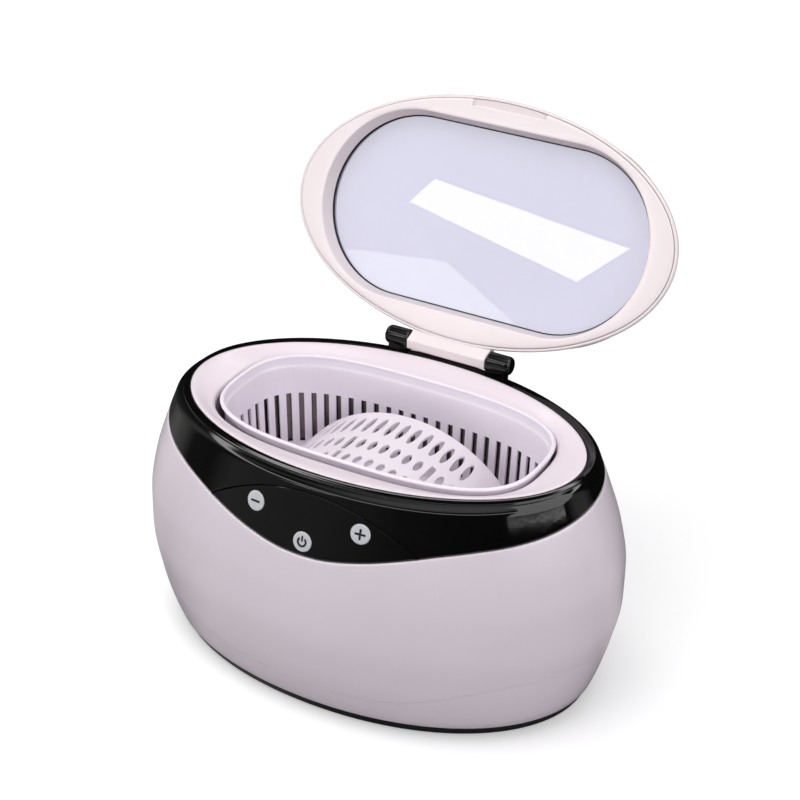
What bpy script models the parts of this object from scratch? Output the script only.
"""Small household ultrasonic cleaner: oval two-tone housing, hinged lid with a
clear window, lift-out slotted basket with a curved watch stand, stainless tank
with a bonded transducer, and the control and driver electronics.

Frame: +Z up, origin on the floor under the centre of the oval body. X is the
long axis, the control panel faces -Y and the lid hinge is at +Y. The rest pose
has the lid open. Sizes are in millimetres; the scene is built in metres.
"""
import math

import bmesh
import bpy
import numpy as np
from mathutils import Matrix, Vector

MILLI = 0.001                 # metres in a millimetre

# ---------------------------------------------------------------- shared dimensions
# outer skin of the body: height, half length and half width of each level section
BODY_Z = (0.0, 4.2, 12.6, 26.2, 42.0, 57.7, 73.5, 89.2, 101.8)
BODY_HALF_X = (92.9, 94.4, 97.3, 100.9, 103.8, 104.0, 101.4, 96.3, 91.4)
BODY_HALF_Y = (59.5, 61.0, 64.0, 67.2, 68.6, 67.6, 65.1, 61.1, 57.4)
BODY_EXP = 2.06               # superellipse exponent of the sections
BODY_TOP = BODY_Z[-1]
BODY_COLS = 48                # columns of vertices around the body
GAP = 0.3                     # gap between neighbouring pieces
HALF_GAP = GAP / 2

# parting wave between white housing and black trim ring: angle away from the
# middle of the front (degrees) and height
WAVE_ANGLE = (0, 4, 8, 12, 17, 20, 24, 28, 32, 36, 40, 44,
              48, 52, 57, 63, 69, 76, 86, 96, 110, 130, 150, 180)
WAVE_Z = (75.8, 76.1, 77.0, 78.3, 80.1, 81.3, 82.9, 84.4, 85.8, 86.9, 87.8, 88.6,
          89.2, 89.8, 90.6, 91.5, 92.5, 93.6, 94.9, 96.0, 96.8, 97.2, 97.4, 97.4)

# the panel's curved top edge: z = PANEL_TOP - PANEL_FALL * (x - PANEL_X)^2
PANEL_X = 1.0
PANEL_TOP = 100.5
PANEL_FALL = 0.0074

BASE_TOP = 4.1
SCREW_X, SCREW_Y = 69.3, 34.7

DECK_HALF_X, DECK_HALF_Y, DECK_Z = 86.0, 50.3, 105.0    # outer edge of the deck
DECK_UNDER_Z = 99.9                                     # underside at the opening
OPEN_HALF_X, OPEN_HALF_Y, OPEN_EXP = 70.9, 38.0, 2.9    # deck opening
FLANGE_Z = 98.6                                         # top of the tank flange
TANK_FLOOR = 54.0
TANK_WALL = 0.8

HINGE_Y, HINGE_Z = 55.15, 108.86
PIN_RADIUS, PIN_BORE = 1.5, 1.78
LID_OPEN = 117.42             # degrees from closed
LID_Y = 0.45                  # middle of the closed lid

BOARD_LOW, BOARD_HIGH = (-80.0, -24.0, 10.3), (-28.0, 24.0, 11.9)    # driver board
INLET_X, INLET_Z = -30.0, 20.0
INLET_HALF_X, INLET_HALF_Z = 12.0, 8.0

# ---------------------------------------------------------------- scene
for old in list(bpy.data.objects):
    bpy.data.objects.remove(old, do_unlink=True)
bpy.context.scene.unit_settings.system = "METRIC"

parts = bpy.data.collections.new("ultrasonic_cleaner")
cutters = bpy.data.collections.new("cutters")
bpy.context.scene.collection.children.link(parts)
bpy.context.scene.collection.children.link(cutters)


# ---------------------------------------------------------------- materials
def material(name, rgb, rough, metal=0.0, alpha=1.0, coat=0.0):
    mat = bpy.data.materials.new(name)
    mat.use_nodes = True
    inputs = mat.node_tree.nodes["Principled BSDF"].inputs
    inputs["Base Color"].default_value = (*rgb, 1.0)
    inputs["Roughness"].default_value = rough
    inputs["Metallic"].default_value = metal
    inputs["Alpha"].default_value = alpha
    inputs["Coat Weight"].default_value = coat
    mat.diffuse_color = (*rgb, alpha)
    return mat


WHITE = material("white_plastic", rgb=(0.74, 0.69, 0.76), rough=0.28, coat=0.3)
WHITE_LID = material("white_lid_plastic", rgb=(0.85, 0.78, 0.83), rough=0.25, coat=0.3)
BASKET = material("white_basket_plastic", rgb=(0.74, 0.68, 0.76), rough=0.4)
BLACK = material("black_gloss_plastic", rgb=(0.006, 0.006, 0.006), rough=0.12, coat=0.6)
BLACK_MATTE = material("black_matte_plastic", rgb=(0.02, 0.02, 0.02), rough=0.5)
RUBBER = material("black_rubber", rgb=(0.015, 0.015, 0.015), rough=0.8)
SILVER = material("silver_key", rgb=(0.58, 0.6, 0.62), rough=0.35, metal=0.6)
CLEAR = material("clear_window", rgb=(0.72, 0.74, 0.88), rough=0.03, alpha=0.35)
STEEL = material("stainless_steel", rgb=(0.62, 0.62, 0.63), rough=0.25, metal=1.0)
ALUMINIUM = material("aluminium", rgb=(0.75, 0.75, 0.77), rough=0.35, metal=1.0)
CERAMIC = material("piezo_ceramic", rgb=(0.42, 0.36, 0.28), rough=0.6)
BRASS = material("brass_electrode", rgb=(0.7, 0.5, 0.2), rough=0.3, metal=1.0)
BOARD = material("green_board", rgb=(0.02, 0.16, 0.07), rough=0.45)
FERRITE = material("ferrite", rgb=(0.05, 0.05, 0.055), rough=0.55)
SLEEVE = material("capacitor_sleeve", rgb=(0.03, 0.05, 0.16), rough=0.35)
RED = material("red_wire", rgb=(0.45, 0.02, 0.02), rough=0.45)
DARK = material("display_face", rgb=(0.04, 0.01, 0.01), rough=0.2)


# ---------------------------------------------------------------- outlines
def smooth_table(at, stations, values):
    """Monotone cubic through a table, held at its end values."""
    stations, values = np.asarray(stations, float), np.asarray(values, float)
    at = float(min(max(at, stations[0]), stations[-1]))
    i = int(min(np.searchsorted(stations, at, side="right") - 1, len(stations) - 2))
    rates = np.diff(values) / np.diff(stations)

    def slope(j):
        if j == 0:
            return rates[0]
        if j == len(stations) - 1:
            return rates[-1]
        before, after = rates[j - 1], rates[j]
        return 0.0 if before * after <= 0 else 2 * before * after / (before + after)

    step = stations[i + 1] - stations[i]
    t = (at - stations[i]) / step
    return float((1 + 2 * t) * (1 - t) ** 2 * values[i] + t * (1 - t) ** 2 * step * slope(i)
                 + t * t * (3 - 2 * t) * values[i + 1] + t * t * (t - 1) * step * slope(i + 1))


def turn_angles(count):
    return [2 * math.pi * i / count for i in range(count)]


def superellipse(half_x, half_y, exponent, angle):
    cos, sin = math.cos(angle), math.sin(angle)
    return (half_x * math.copysign(abs(cos) ** (2 / exponent), cos),
            half_y * math.copysign(abs(sin) ** (2 / exponent), sin))


def stadium(half_x, radius, angle):
    """Point of a stadium at the same fraction of its quadrant's length as the angle's."""
    turn = (angle / (math.pi / 2)) % 4.0
    quadrant = int(turn)
    fraction = turn - quadrant
    if quadrant in (1, 3):
        fraction = 1 - fraction
    arc, straight = radius * math.pi / 2, half_x - radius
    run = fraction * (arc + straight)
    if run <= arc:
        x, y = half_x - radius + radius * math.cos(run / radius), radius * math.sin(run / radius)
    else:
        x, y = half_x - radius - (run - arc), radius
    return (x if quadrant in (0, 3) else -x, y if quadrant in (0, 1) else -y)


def oval(half_x, half_y, exponent=2.0):
    return lambda angle: superellipse(half_x, half_y, exponent, angle)


def opening(offset):
    """The deck opening's outline, grown by an offset."""
    return oval(OPEN_HALF_X + offset, OPEN_HALF_Y + offset, OPEN_EXP)


def lid_outline(half_x, half_y, blend):
    """Loop about the closed lid's middle, from ellipse (blend 0) to stadium (blend 1)."""
    def outline(angle):
        round_x, round_y = superellipse(half_x, half_y, 2.0, angle)
        long_x, long_y = stadium(half_x, half_y, angle)
        return (round_x * (1 - blend) + long_x * blend,
                round_y * (1 - blend) + long_y * blend + LID_Y)
    return outline


def level_rows(sections, count):
    """Rows of points from level sections, each an (outline function, z) pair."""
    return [[(*outline(angle), z) for angle in turn_angles(count)] for outline, z in sections]


def corners(x, y):
    return [(x * side_x, y * side_y) for side_x in (1, -1) for side_y in (1, -1)]


# ---------------------------------------------------------------- body skin
def body_point(angle, z):
    half_x = smooth_table(z, BODY_Z, BODY_HALF_X)
    half_y = smooth_table(z, BODY_Z, BODY_HALF_Y)
    return Vector((*superellipse(half_x, half_y, BODY_EXP, angle), z))


def body_normal(angle, z):
    turn, rise = 0.01, 0.3    # steps of the central differences
    around = body_point(angle + turn, z) - body_point(angle - turn, z)
    upward = body_point(angle, z + rise) - body_point(angle, z - rise)
    return around.cross(upward).normalized()


def front_frame(x, z):
    """Point and outward normal of the front skin at a given x and height."""
    half_x = smooth_table(z, BODY_Z, BODY_HALF_X)
    angle = -math.acos(math.copysign(abs(x / half_x) ** (BODY_EXP / 2), x))
    return body_point(angle, z), body_normal(angle, z)


def skin_rows(angles, lows, highs, fractions):
    """Rows of skin points at fractions of the way from low to high in each column."""
    return [[body_point(angle, low + fraction * (high - low))
             for angle, low, high in zip(angles, lows, highs)] for fraction in fractions]


def wave_z(angle):
    from_front = math.degrees(abs((angle + math.pi / 2 + math.pi) % (2 * math.pi) - math.pi))
    return smooth_table(from_front, WAVE_ANGLE, WAVE_Z)


def panel_arc_z(angle):
    """Height where the skin at this angle meets the panel's curved top edge."""
    z = 92.0                  # first guess of the fixed-point iteration
    for _ in range(6):
        z = PANEL_TOP - PANEL_FALL * (body_point(angle, z).x - PANEL_X) ** 2
    return z


ANGLES = turn_angles(BODY_COLS)
# columns of the front where the panel is tall enough, and one closing column on each side
MIN_PANEL_HEIGHT, END_PANEL_HEIGHT = 1.2, 0.7
tall_columns = [i for i, angle in enumerate(ANGLES)
                if math.sin(angle) < -0.3
                and panel_arc_z(angle) - wave_z(angle) > MIN_PANEL_HEIGHT]
PANEL_FIRST, PANEL_LAST = min(tall_columns) - 1, max(tall_columns) + 1


def panel_top(i):
    low_limit = wave_z(ANGLES[i]) + END_PANEL_HEIGHT
    if PANEL_FIRST < i < PANEL_LAST:
        return max(panel_arc_z(ANGLES[i]), low_limit)
    return low_limit


# ---------------------------------------------------------------- builders
def finish(obj, mat, smooth, helper=False):
    """Links an object; helpers are the hidden shapes used by booleans."""
    (cutters if helper else parts).objects.link(obj)
    obj.data.materials.append(mat)
    if smooth:
        obj.data.shade_smooth()
        obj.data.set_sharp_from_angle(angle=math.radians(smooth))
    if helper:
        obj.hide_render = True
        obj.display_type = "WIRE"
    return obj


def from_bmesh(name, shape, mat, smooth=30, helper=False, recalc=True):
    if recalc:
        bmesh.ops.recalc_face_normals(shape, faces=shape.faces)
    mesh = bpy.data.meshes.new(name)
    shape.to_mesh(mesh)
    shape.free()
    return finish(bpy.data.objects.new(name, mesh), mat, smooth, helper)


def boolean(obj, other, operation):
    mod = obj.modifiers.new(operation.lower() + "_" + other.name, "BOOLEAN")
    mod.operation = operation
    mod.solver = "EXACT"
    mod.object = other


def thicken(obj, thickness):
    """Gives a sheet a wall behind its outward face."""
    mod = obj.modifiers.new("wall", "SOLIDIFY")
    mod.thickness = thickness * MILLI
    mod.offset = -1.0
    mod.use_even_offset = True
    return obj


def lay_grid(shape, rows):
    return [[shape.verts.new([value * MILLI for value in point]) for point in row]
            for row in rows]


def no_hole(row, i):
    return False


def add_quads(shape, row_pairs, closed=True, hole=no_hole):
    for row, (one, two) in enumerate(row_pairs):
        count = len(one)
        for i in range(count if closed else count - 1):
            j = (i + 1) % count
            if not hole(row, i):
                shape.faces.new((one[i], one[j], two[j], two[i]))


def ring_solid(name, sections, mat, count):
    """Closed ring lofted through level sections and back to the first."""
    shape = bmesh.new()
    grid = lay_grid(shape, level_rows(sections, count))
    add_quads(shape, zip(grid, grid[1:] + grid[:1]))
    return from_bmesh(name, shape, mat)


def disc_solid(name, sections, mat, count):
    """Closed solid lofted through level sections, with a flat face at each end."""
    shape = bmesh.new()
    grid = lay_grid(shape, level_rows(sections, count))
    add_quads(shape, zip(grid, grid[1:]))
    shape.faces.new(grid[0])
    shape.faces.new(grid[-1])
    return from_bmesh(name, shape, mat)


def sheet(name, rows, mat, thickness, closed=True, hole=no_hole, smooth=30):
    """Grid of points thickened inwards; closed joins the last column to the first."""
    shape = bmesh.new()
    grid = lay_grid(shape, rows)
    add_quads(shape, zip(grid, grid[1:]), closed, hole)
    return thicken(from_bmesh(name, shape, mat, smooth, recalc=False), thickness)


def pan(name, rows, mat, thickness, hole=no_hole, smooth=30):
    """Floored vessel from rows running down its inside, thickened outwards."""
    shape = bmesh.new()
    grid = lay_grid(shape, rows)
    for row, (upper, lower) in enumerate(zip(grid, grid[1:])):
        for i in range(len(upper)):
            j = (i + 1) % len(upper)
            if not hole(row, i):
                shape.faces.new((lower[i], upper[i], upper[j], lower[j]))
    shape.faces.new(grid[-1])
    return thicken(from_bmesh(name, shape, mat, smooth, recalc=False), thickness)


def box(name, low, high, mat, bevel=0.0, helper=False):
    shape = bmesh.new()
    bmesh.ops.create_cube(shape, size=1.0)
    low, high = Vector(low), Vector(high)
    bmesh.ops.scale(shape, vec=(high - low) * MILLI, verts=shape.verts)
    if bevel:
        bmesh.ops.bevel(shape, geom=shape.edges[:], offset=bevel * MILLI, segments=2,
                        profile=0.5, affect="EDGES")
    bmesh.ops.translate(shape, vec=(high + low) / 2 * MILLI, verts=shape.verts)
    return from_bmesh(name, shape, mat, helper=helper)


def cylinder(name, radius, low, high, mat, sides, at=(0, 0), axis="Z", helper=False, bevel=0.0):
    """Cylinder along an axis from low to high; at holds the other two coordinates."""
    shape = bmesh.new()
    bmesh.ops.create_cone(shape, cap_ends=True, segments=sides, radius1=radius * MILLI,
                          radius2=radius * MILLI, depth=(high - low) * MILLI)
    if bevel:
        rims = [edge for edge in shape.edges
                if abs(edge.verts[0].co.z - edge.verts[1].co.z) < 1e-7]
        bmesh.ops.bevel(shape, geom=rims, offset=bevel * MILLI, segments=2, profile=0.5,
                        affect="EDGES")
    middle = (low + high) / 2 * MILLI
    first, second = at[0] * MILLI, at[1] * MILLI
    if axis == "Z":
        place = Matrix.Translation((first, second, middle))
    elif axis == "X":
        place = (Matrix.Translation((middle, first, second))
                 @ Matrix.Rotation(math.pi / 2, 4, "Y"))
    else:
        place = (Matrix.Translation((first, middle, second))
                 @ Matrix.Rotation(math.pi / 2, 4, "X"))
    bmesh.ops.transform(shape, matrix=place, verts=shape.verts)
    return from_bmesh(name, shape, mat, 35, helper)


def turned(name, profile, mat, steps, matrix=None, helper=False):
    """Solid of revolution about Z from a (radius, z) profile."""
    shape = bmesh.new()
    verts = lay_grid(shape, [[(radius, 0, z) for radius, z in profile]])[0]
    for start, end in zip(verts, verts[1:]):
        shape.edges.new((start, end))
    obj = from_bmesh(name, shape, mat, 0, helper, recalc=False)
    mod = obj.modifiers.new("turn", "SCREW")
    mod.axis = "Z"
    mod.steps = mod.render_steps = steps
    mod.use_merge_vertices = True
    mod.merge_threshold = 0.00001
    mod.use_smooth_shade = True
    if matrix is not None:
        obj.matrix_world = matrix
    return obj


def extruded(name, outline, start, depth, mat, helper=False):
    """Prism along +Y on an (x, z) outline."""
    shape = bmesh.new()
    face = shape.faces.new(lay_grid(shape, [[(x, start, z) for x, z in outline]])[0])
    made = bmesh.ops.extrude_face_region(shape, geom=[face])["geom"]
    bmesh.ops.translate(shape, vec=(0, depth * MILLI, 0),
                        verts=[item for item in made if isinstance(item, bmesh.types.BMVert)])
    return from_bmesh(name, shape, mat, helper=helper)


def bend(points, radius):
    """Rounds the corners of a polyline."""
    steps = 2
    points = [Vector(point) for point in points]
    rounded = [points[0]]
    for before, corner, after in zip(points, points[1:], points[2:]):
        enter = corner + (before - corner).normalized() * radius
        leave = corner + (after - corner).normalized() * radius
        for k in range(steps + 1):
            t = k / steps
            rounded.append((1 - t) ** 2 * enter + 2 * t * (1 - t) * corner + t * t * leave)
    rounded.append(points[-1])
    return rounded


def wire(name, route, bend_radius, radius, mat):
    points = bend(route, bend_radius)
    curve = bpy.data.curves.new(name, "CURVE")
    curve.dimensions = "3D"
    curve.bevel_depth = radius * MILLI
    curve.bevel_resolution = 1
    curve.use_fill_caps = True
    spline = curve.splines.new("POLY")
    spline.points.add(len(points) - 1)
    for knot, (x, y, z) in zip(spline.points, points):
        knot.co = (x * MILLI, y * MILLI, z * MILLI, 1.0)
    finish(bpy.data.objects.new(name, curve), mat, 0)


def on_floor(x, y):
    return Matrix.Translation((x * MILLI, y * MILLI, 0))


def aim(origin, direction):
    """Placement whose local Z runs along a direction and local X lies near world X."""
    axis_z = Vector(direction).normalized()
    axis_y = axis_z.cross(Vector((1, 0, 0))).normalized()
    axis_x = axis_y.cross(axis_z)
    matrix = Matrix((axis_x, axis_y, axis_z)).transposed().to_4x4()
    matrix.translation = Vector(origin) * MILLI
    return matrix


# ---------------------------------------------------------------- housing and base
def build_housing():
    wall = 2.2
    tops = [wave_z(angle) - HALF_GAP for angle in ANGLES]
    rows = skin_rows(ANGLES, [BASE_TOP + GAP] * BODY_COLS, tops, [k / 5 for k in range(6)])
    housing = sheet("lower_housing", rows, WHITE, wall)

    # screw bosses stand inside the wall over the base plate's screws
    for i, spot in enumerate(corners(SCREW_X, SCREW_Y)):
        boss = cylinder(f"boss_{i}", 4.5, 5.0, 24.0, WHITE, 12, spot, helper=True)
        bore = cylinder(f"boss_bore_{i}", 1.75, 3.0, 18.5, WHITE, 10, spot, helper=True)
        boolean(housing, boss, "UNION")
        boolean(housing, bore, "DIFFERENCE")

    # opening for the power inlet at the back
    half_x, half_z = INLET_HALF_X + GAP, INLET_HALF_Z + GAP
    inlet_cut = box("inlet_cut", (INLET_X - half_x, 50, INLET_Z - half_z),
                    (INLET_X + half_x, 80, INLET_Z + half_z), WHITE, helper=True)
    boolean(housing, inlet_cut, "DIFFERENCE")


FOOT_X, FOOT_Y = 50.0, 37.5
# (radius, z) profiles
FOOT_PROFILE = [(0, 2.0), (6.1, 2.0), (6.1, -0.3), (5.6, -0.8), (0, -0.8)]
SCREW_HOLE_PROFILE = [(0, 6.0), (1.9, 6.0), (1.9, 2.6), (3.5, 2.6), (3.5, -2.0), (0, -2.0)]
SCREW_PROFILE = [(0, 17.5), (0.5, 17.5), (1.4, 16.0), (1.4, 2.3), (3.1, 2.3), (3.1, 1.2),
                 (2.6, 0.9), (0, 0.9)]


def build_base():
    """Base plate with its feet, screws, vents and the driver board's standoffs."""
    base = disc_solid("base_plate", [(oval(91.3, 57.9, BODY_EXP), 0.0),
                                     (oval(92.7, 59.3, BODY_EXP), 1.2),
                                     (oval(94.2, 60.8, BODY_EXP), BASE_TOP)], BLACK_MATTE, 40)
    for i, spot in enumerate(corners(FOOT_X, FOOT_Y), 1):
        pocket = cylinder(f"foot_pocket_{i}", 6.6, -2.0, 2.3, RUBBER, 16, spot, helper=True)
        boolean(base, pocket, "DIFFERENCE")
        turned(f"foot_{i}", FOOT_PROFILE, RUBBER, 16, on_floor(*spot))
    for i, spot in enumerate(corners(SCREW_X, SCREW_Y), 1):
        hole = turned(f"screw_hole_{i}", SCREW_HOLE_PROFILE, STEEL, 12, on_floor(*spot),
                      helper=True)
        boolean(base, hole, "DIFFERENCE")
        turned(f"base_screw_{i}", SCREW_PROFILE, STEEL, 10, on_floor(*spot))

    vent_start, vent_pitch, vent_half = -20, 8.0, 1.5
    for i in range(6):
        x = vent_start + i * vent_pitch
        vent = box(f"vent_{i}", (x - vent_half, 34, -1), (x + vent_half, 52, 6), BLACK_MATTE,
                   helper=True)
        boolean(base, vent, "DIFFERENCE")

    inset = 5                 # from the driver board's edges
    spots = [(x, y) for x in (BOARD_LOW[0] + inset, BOARD_HIGH[0] - inset)
             for y in (BOARD_LOW[1] + inset, BOARD_HIGH[1] - inset)]
    for i, spot in enumerate(spots):
        post = cylinder(f"standoff_{i}", 2.6, 3.0, BOARD_LOW[2] - GAP, BLACK_MATTE, 8, spot,
                        helper=True)
        boolean(base, post, "UNION")


# ---------------------------------------------------------------- trim ring and hinge
# rounded crest: fraction of the way out from the deck's edge to the body skin, and height
CREST = ((1.0, BODY_TOP), (0.72, 104.0), (0.58, 104.64), (0.03, 105.0))
KNUCKLE_RADIUS = 4.0
KNUCKLE_IN, KNUCKLE_OUT = 18.6, 29.5


def ring_bottom(i):
    in_panel = PANEL_FIRST <= i <= PANEL_LAST
    return (panel_top(i) if in_panel else wave_z(ANGLES[i])) + HALF_GAP


def add_knuckle(ring, side, tag):
    def span(inner, outer):
        return sorted((side * inner, side * outer))

    low, high = span(KNUCKLE_IN, KNUCKLE_OUT)
    post_low, post_high = span(KNUCKLE_IN, KNUCKLE_OUT - 2.3)
    bore_low, bore_high = span(10.0, 28.2)
    axis_at = (HINGE_Y, HINGE_Z)
    post = box(f"hinge_post_{tag}", (post_low, HINGE_Y - 3.6, 100.6),
               (post_high, HINGE_Y + 1.6, HINGE_Z - 0.6), BLACK, helper=True)
    knuckle = cylinder(f"knuckle_{tag}", KNUCKLE_RADIUS, low, high, BLACK, 18, axis_at, "X",
                       helper=True, bevel=0.7)
    bore = cylinder(f"knuckle_bore_{tag}", PIN_BORE, bore_low, bore_high, BLACK, 12, axis_at,
                    "X", helper=True)
    boolean(ring, post, "UNION")
    boolean(ring, knuckle, "UNION")
    boolean(ring, bore, "DIFFERENCE")


def build_trim_ring():
    bottoms = [ring_bottom(i) for i in range(BODY_COLS)]
    rows = skin_rows(ANGLES, bottoms, [BODY_TOP] * BODY_COLS, [k / 3 for k in range(3)])
    inner_edge = [superellipse(DECK_HALF_X + GAP, DECK_HALF_Y + GAP, 2.0, angle)
                  for angle in ANGLES]
    outer_edge = [body_point(angle, BODY_TOP) for angle in ANGLES]
    for fraction, z in CREST:
        rows.append([(x + fraction * (outer.x - x), y + fraction * (outer.y - y), z)
                     for (x, y), outer in zip(inner_edge, outer_edge)])
    rows.append([(x, y, 101.6) for x, y in inner_edge])
    ring = sheet("trim_ring", rows, BLACK, 1.9)
    add_knuckle(ring, -1, "left")
    add_knuckle(ring, 1, "right")


def build_hinge_pin():
    cylinder("hinge_pin", PIN_RADIUS, -27.8, 27.8, STEEL, 12, (HINGE_Y, HINGE_Z), "X", bevel=0.3)


# ---------------------------------------------------------------- control panel and keys
KEYS = {"minus": (-22.2, 90.35), "power": (1.0, 81.5), "plus": (24.2, 90.35)}    # x, z
KEY_RADIUS = 4.05
SWITCH_TOP = 3.6              # above the control board
PANEL_MID_Z = 87.0
PANEL_DEPTH = 11.5            # from the panel's skin in to the control board

# the control board lies parallel to the panel, its local X along the body
panel_point, panel_normal = front_frame(PANEL_X, PANEL_MID_Z)
panel_normal = Vector((0, panel_normal.y, panel_normal.z)).normalized()
PANEL_FRAME = aim(panel_point - panel_normal * PANEL_DEPTH, panel_normal)


def build_overlay():
    columns = range(PANEL_FIRST, PANEL_LAST + 1)
    angles = [ANGLES[i] for i in columns]
    rows = skin_rows(angles, [wave_z(angle) + HALF_GAP for angle in angles],
                     [panel_top(i) - HALF_GAP for i in columns], [k / 3 for k in range(4)])
    overlay = sheet("control_overlay", rows, BLACK, 1.2, closed=False)
    for name, spot in KEYS.items():
        hole = cylinder(f"key_{name}_hole", KEY_RADIUS + GAP, -4.0, 4.0, BLACK, 18, helper=True)
        hole.matrix_world = aim(*front_frame(*spot))
        boolean(overlay, hole, "DIFFERENCE")


def on_panel(name, low, high, mat, bevel=0.0):
    """Box in the control board's frame."""
    box(name, low, high, mat, bevel).matrix_world = PANEL_FRAME


def build_key(name, spot):
    """A key standing on the skin and the switch below it on the control board."""
    point, normal = front_frame(*spot)
    to_board = PANEL_FRAME.inverted()
    local = to_board @ (point * MILLI)
    direction = (to_board.to_3x3() @ normal).normalized()
    # where the key's line meets the board
    foot = local - direction * (local.z / direction.z)
    x, y = foot.x / MILLI, foot.y / MILLI
    half = 3
    on_panel(f"switch_{name}", (x - half, y - half, GAP), (x + half, y + half, SWITCH_TOP),
             BLACK_MATTE, 0.4)

    # the key's stem stops short of the switch
    stem = (local.z / MILLI - SWITCH_TOP) / direction.z - 0.95
    flange_radius, stem_radius = 5.3, 1.5
    profile = [(0, 0.25), (KEY_RADIUS - 0.5, 0.25), (KEY_RADIUS, 0.0), (KEY_RADIUS, -1.65),
               (flange_radius, -1.65), (flange_radius, -2.3), (stem_radius, -2.3),
               (stem_radius, -stem), (0, -stem)]
    turned(f"key_{name}", profile, SILVER, 18, aim(point, normal))


def build_controls():
    build_overlay()
    on_panel("control_pcb", (-33, -9, -1.6), (33, 11, 0), BOARD)
    for name, spot in KEYS.items():
        build_key(name, spot)
    on_panel("display_module", (-10.5, 3.3, GAP), (10.5, 10.3, 7.0), DARK, 0.4)


# ---------------------------------------------------------------- deck, gasket, tank
def build_deck():
    ring_solid("deck", [
        (oval(DECK_HALF_X, DECK_HALF_Y), DECK_Z), (oval(83.8, 48.1, 2.06), 104.95),
        (oval(78.4, 43.8, 2.4), 103.75), (oval(72.8, 39.7, 2.8), 102.3),
        (opening(0.3), 101.2), (opening(0), DECK_UNDER_Z), (opening(2.0), DECK_UNDER_Z),
        (oval(80.0, 45.4, 2.3), 101.8), (oval(84.2, 48.6, 2.04), 102.7),
        (oval(DECK_HALF_X, DECK_HALF_Y), 102.7)], WHITE_LID, BODY_COLS)


def build_tank_gasket():
    """Ring between the tank's flange and the deck, clear of both."""
    clearance = 0.32
    low, high = FLANGE_Z + clearance, DECK_UNDER_Z - clearance
    ring_solid("tank_gasket", [(opening(2.0), low), (opening(2.0), high), (opening(0.6), high),
                               (opening(0.6), low)], RUBBER, 28)


# offset from the deck opening's outline, and height
TANK_ROWS = ((4.5, FLANGE_Z), (0, FLANGE_Z), (-0.8, FLANGE_Z - 1.2),
             (-2.5, TANK_FLOOR + 6.5), (-4.3, TANK_FLOOR + 1.6), (-9.9, TANK_FLOOR))


def build_tank():
    rows = level_rows([(opening(offset), z) for offset, z in TANK_ROWS], 36)
    pan("tank", rows, STEEL, TANK_WALL)


# ---------------------------------------------------------------- basket and watch stand
BASKET_X = 0.8                # the loose basket sits this far to one side of the middle
BASKET_EXP = 2.95
SLOTS = 28
SLOT_SHARE = 0.38             # slot width over slot pitch
# half length, half width and height, from the rim down to the floor
BASKET_ROWS = ((69.6, 36.8, 104.0), (68.0, 35.2, 104.0), (67.5, 34.7, 99.6),
               (66.9, 33.95, 86.9), (66.0, 33.1, 64.0), (64.2, 31.4, 59.4),
               (60.0, 27.2, 58.0), (26.0, 9.5, 58.0))
SLOT_ROW = 3                  # the wall slots run down from this row to the next
FLOOR_ROW = len(BASKET_ROWS) - 2


def basket_angles():
    """Angles of the slots' two edges, with the slots spaced evenly along the wall."""
    samples = 2880
    fine = [superellipse(66.5, 33.6, BASKET_EXP, 2 * math.pi * i / samples)
            for i in range(samples + 1)]
    steps = [math.dist(start, end) for start, end in zip(fine, fine[1:])]
    run = np.concatenate([[0.0], np.cumsum(steps)])
    total = float(run[-1])
    angles = []
    for i in range(SLOTS):
        for edge in (0.5 - SLOT_SHARE / 2, 0.5 + SLOT_SHARE / 2):
            sample = float(np.interp((i + edge) / SLOTS * total, run, np.arange(samples + 1)))
            angles.append(2 * math.pi * sample / samples)
    return angles


def basket_hole(row, i):
    """Even columns are slots in the wall; every second one is open in the floor too."""
    return (row == SLOT_ROW and i % 2 == 0) or (row == FLOOR_ROW and i % 4 == 0)


def build_basket():
    angles = basket_angles()
    rows = []
    for half_x, half_y, z in BASKET_ROWS:
        loop = [superellipse(half_x, half_y, BASKET_EXP, angle) for angle in angles]
        rows.append([(x + BASKET_X, y, z) for x, y in loop])
    pan("basket", rows, BASKET, 1.0, basket_hole, smooth=35)


# slotted vault along Y
STAND_RADIUS, STAND_AXIS_Z = 57.9, 34.7
STAND_FOOT_Z = 60.2
STAND_COLS = 21
STAND_HALF_Y = 22.3
# slots lie between the 2nd and 3rd stations, the 4th and 5th, and so on
STAND_Y = (-STAND_HALF_Y, -19.4, -11.0, -7.6, -1.2, 2.2, 8.8, 11.6, 20.0, STAND_HALF_Y)


def stand_hole(row, i):
    return row % 2 == 1 and i % 2 == 1 and 2 < i < STAND_COLS - 3


def build_watch_stand():
    half_arc = math.acos((STAND_FOOT_Z - STAND_AXIS_Z) / STAND_RADIUS)
    arc = []
    for i in range(STAND_COLS + 1):
        angle = -half_arc + 2 * half_arc * i / STAND_COLS
        x = STAND_RADIUS * math.sin(angle)
        # the corners at the vault's two feet narrow to clear the basket's ends
        narrow = 1.0 - 0.24 * (max(0.0, abs(x) - 42.0) / 10.0) ** 2
        arc.append((x, narrow, STAND_AXIS_Z + STAND_RADIUS * math.cos(angle)))
    rows = [[(x, y * narrow, z) for x, narrow, z in arc] for y in STAND_Y]
    sheet("watch_stand", rows, BASKET, 1.6, closed=False, hole=stand_hole, smooth=35)


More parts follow.
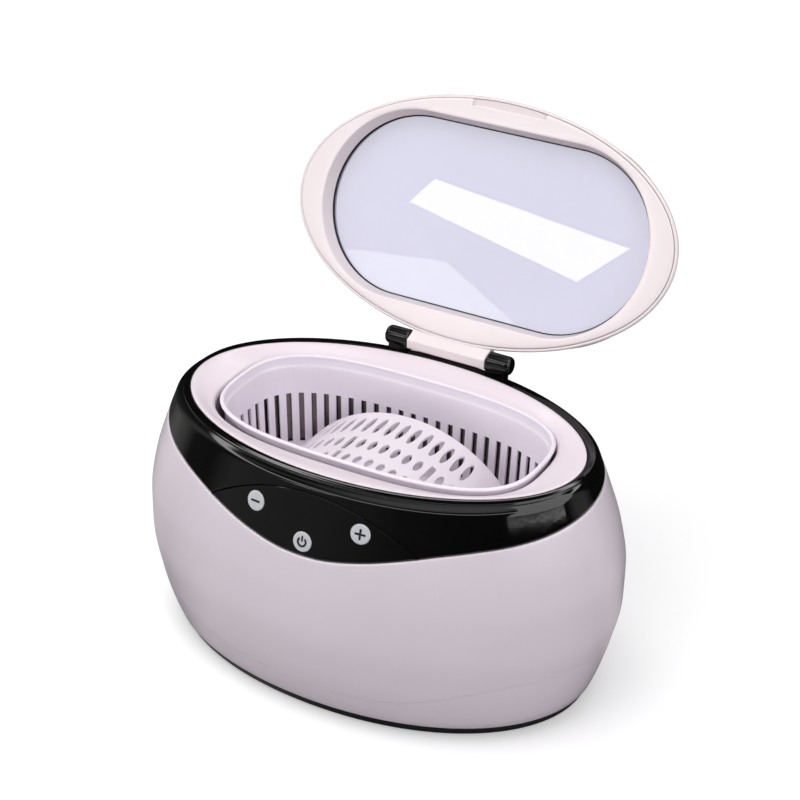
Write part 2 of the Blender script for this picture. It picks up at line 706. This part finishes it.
# ---------------------------------------------------------------- lid
# modelled closed, then turned open about the hinge; the tables' columns are
# half length, half width, blend from ellipse to stadium, and height above the hinge
LID_COLS = 40
LID_SHELL = ((87.0, 51.0, 0, -0.9), (87.33, 51.34, 0, 0.1), (85.9, 49.9, 0.12, 3.3),
             (82.6, 47.0, 0.6, 6.2), (79.4, 44.5, 0.9, 8.2), (76.6, 41.9, 1, 9.3),
             (73.6, 38.9, 1, 9.5))
LID_FRAME = ((85.55, 49.6, 0, -1.3), (78.0, 43.0, 0.6, -1.2), (75.2, 40.4, 1, -1.1),
             (74.7, 39.9, 1, -0.5), (73.3, 38.6, 1, 5.4), (75.4, 40.6, 1, 5.4),
             (76.4, 41.6, 1, 0.6), (79.0, 43.8, 0.5, 0.1), (85.55, 49.6, 0, -0.1))
WINDOW_GASKET = ((75.3, 40.5, 1, 5.72), (72.9, 38.2, 1, 5.72), (72.9, 38.2, 1, 6.4),
                 (75.3, 40.5, 1, 6.4))
WINDOW = ((75.2, 40.4, 1, 6.72), (75.2, 40.4, 1, 7.68), (73.3, 38.6, 1, 7.68),
          (73.2, 38.5, 1, 9.0), (71.0, 36.4, 1, 9.35), (50.0, 20.0, 1, 9.9))
LID_BARREL_RADIUS = 4.05
LID_BARREL_HALF = 18.25       # half length, between the ring's knuckles


def lid_sections(table):
    return [(lid_outline(half_x, half_y, blend), HINGE_Z + rise)
            for half_x, half_y, blend, rise in table]


def on_lid(obj, hinge):
    """Moves a piece modelled in the closed position onto the open hinge."""
    obj.parent = hinge
    obj.matrix_parent_inverse = Matrix.Translation((0, -HINGE_Y * MILLI, -HINGE_Z * MILLI))


def build_lid_shell(hinge):
    shell = sheet("lid_shell", level_rows(lid_sections(LID_SHELL), LID_COLS), WHITE_LID, 1.3)
    on_lid(shell, hinge)
    half, axis_at = LID_BARREL_HALF, (HINGE_Y, HINGE_Z)
    lug = box("lid_lug", (-half, HINGE_Y - 7.6, HINGE_Z + 0.5),
              (half, HINGE_Y + 0.5, HINGE_Z + 3.9), WHITE_LID, helper=True)
    barrel = cylinder("lid_barrel", LID_BARREL_RADIUS, -half, half, WHITE_LID, 18, axis_at, "X",
                      helper=True, bevel=0.4)
    bore = cylinder("lid_barrel_bore", PIN_BORE, -22, 22, WHITE_LID, 12, axis_at, "X",
                    helper=True)
    for helper, operation in ((lug, "UNION"), (barrel, "UNION"), (bore, "DIFFERENCE")):
        on_lid(helper, hinge)
        boolean(shell, helper, operation)


def build_lid():
    hinge = bpy.data.objects.new("lid_hinge", None)
    parts.objects.link(hinge)
    hinge.empty_display_size = 0.02
    hinge.location = (0, HINGE_Y * MILLI, HINGE_Z * MILLI)
    hinge.rotation_euler = (-math.radians(LID_OPEN), 0, 0)
    build_lid_shell(hinge)
    for build, name, table, mat in (
            (ring_solid, "lid_frame", LID_FRAME, WHITE_LID),
            (ring_solid, "window_gasket", WINDOW_GASKET, RUBBER),
            (disc_solid, "lid_window", WINDOW, CLEAR)):
        on_lid(build(name, lid_sections(table), mat, LID_COLS), hinge)


# ---------------------------------------------------------------- transducer under the tank
STACK_RADIUS = 17.5
HORN_BOTTOM = 33.2
BOLT_CLEAR = 3.5              # bore radius around the bolt
# rings below the horn, from the top down: name, bore radius, thickness, material
STACK = (("piezo_ring_upper", 7.0, 5.0, CERAMIC), ("electrode", 7.0, 0.6, BRASS),
         ("piezo_ring_lower", 7.0, 5.0, CERAMIC), ("back_mass", BOLT_CLEAR, 9.9, STEEL))


def build_transducer():
    horn_top = TANK_FLOOR - TANK_WALL - GAP
    turned("transducer_horn", [
        (0, horn_top), (21.0, horn_top), (21.0, 49.0), (STACK_RADIUS, 34.2),
        (STACK_RADIUS, HORN_BOTTOM), (BOLT_CLEAR, HORN_BOTTOM), (BOLT_CLEAR, 45.0),
        (0, 45.0)], ALUMINIUM, 20)
    top = HORN_BOTTOM - GAP
    for name, bore, thickness, mat in STACK:
        bottom = top - thickness
        turned(name, [(bore, top), (STACK_RADIUS, top), (STACK_RADIUS, bottom), (bore, bottom),
                      (bore, top)], mat, 20)
        top = bottom - GAP
    # the bolt's head sits under the last ring
    turned("transducer_bolt", [(0, 43.5), (3.0, 43.5), (3.0, top), (5.5, top), (5.5, top - 5.0),
                               (0, top - 5.0)], STEEL, 14)


# ---------------------------------------------------------------- driver board
SEAT_Z = BOARD_HIGH[2] + GAP  # underside of the parts on the board


def build_transformer():
    x, y = -55, -2
    core = box("transformer", (x - 11, y - 10, SEAT_Z), (x + 11, y + 10, SEAT_Z + 16), FERRITE,
               0.8)
    coil = cylinder("transformer_coil", 12.6, 15.5, 25.0, FERRITE, 20, (x, y), helper=True)
    boolean(core, coil, "UNION")


def build_heat_sink():
    """Comb of fins in the XZ plane, extruded along Y."""
    middle_x, half, height, web = -37.0, 10, 20, 3
    fins, pitch, fin = 5, 4.6, 1.6
    outline = [(-half, 0), (half, 0)]
    for k in range(fins):
        x = half - k * pitch
        outline += [(x, height), (x - fin, height)]
        if k < fins - 1:
            outline += [(x - fin, web), (x - pitch, web)]
    extruded("heat_sink", [(x + middle_x, z + SEAT_Z) for x, z in outline], 11.0, 11.0,
             ALUMINIUM)


def build_driver():
    box("driver_pcb", BOARD_LOW, BOARD_HIGH, BOARD)
    build_transformer()
    build_heat_sink()
    cylinder("capacitor", 6.0, SEAT_Z, 30.0, SLEEVE, 14, (-73.0, 16.0), bevel=0.6)


# ---------------------------------------------------------------- power inlet and wiring
def build_inlet():
    inlet = box("power_inlet", (INLET_X - INLET_HALF_X, 46.0, INLET_Z - INLET_HALF_Z),
                (INLET_X + INLET_HALF_X, 63.2, INLET_Z + INLET_HALF_Z), BLACK_MATTE, 0.6)
    loop = [stadium(9.0, 5.0, angle) for angle in turn_angles(24)]
    socket = extruded("inlet_socket", [(INLET_X + x, INLET_Z + z) for x, z in loop], 52.0, 18,
                      BLACK_MATTE, helper=True)
    boolean(inlet, socket, "DIFFERENCE")
    for i, shift in enumerate((-3.6, 3.6)):
        pin = cylinder(f"inlet_pin_{i}", 1.2, 50.0, 61.0, STEEL, 10, (INLET_X + shift, INLET_Z),
                       "Y", helper=True)
        boolean(inlet, pin, "UNION")


def build_cables():
    wire("mains_cable", [(INLET_X, 45.6, INLET_Z), (INLET_X, 34, INLET_Z), (-44, 29, 16),
                         (-52, 19, 15), (-52, 15, 14.0)], 3.0, 1.5, BLACK_MATTE)
    # from the driver board to the electrode's rim
    wire("transducer_cable", [(-40, -16, 13.7), (-40, -16, 20), (-30, -22, 27.3),
                              (-21, -12, 27.3), (-16.2, -9.0, 27.3)], 3.0, 1.2, RED)
    # from the driver board to behind the control board
    board_end = PANEL_FRAME @ Vector((-6 * MILLI, -2 * MILLI, -3.2 * MILLI)) / MILLI
    wire("control_cable", [(-50, -18, 13.7), (-50, -18, 22), (-40, -38, 50), (-10, -46.5, 70),
                           board_end], 4.0, 1.2, BLACK_MATTE)


build_housing()
build_base()
build_trim_ring()
build_hinge_pin()
build_controls()
build_deck()
build_tank_gasket()
build_tank()
build_basket()
build_watch_stand()
build_lid()
build_transducer()
build_driver()
build_inlet()
build_cables()
bpy.context.view_layer.update()
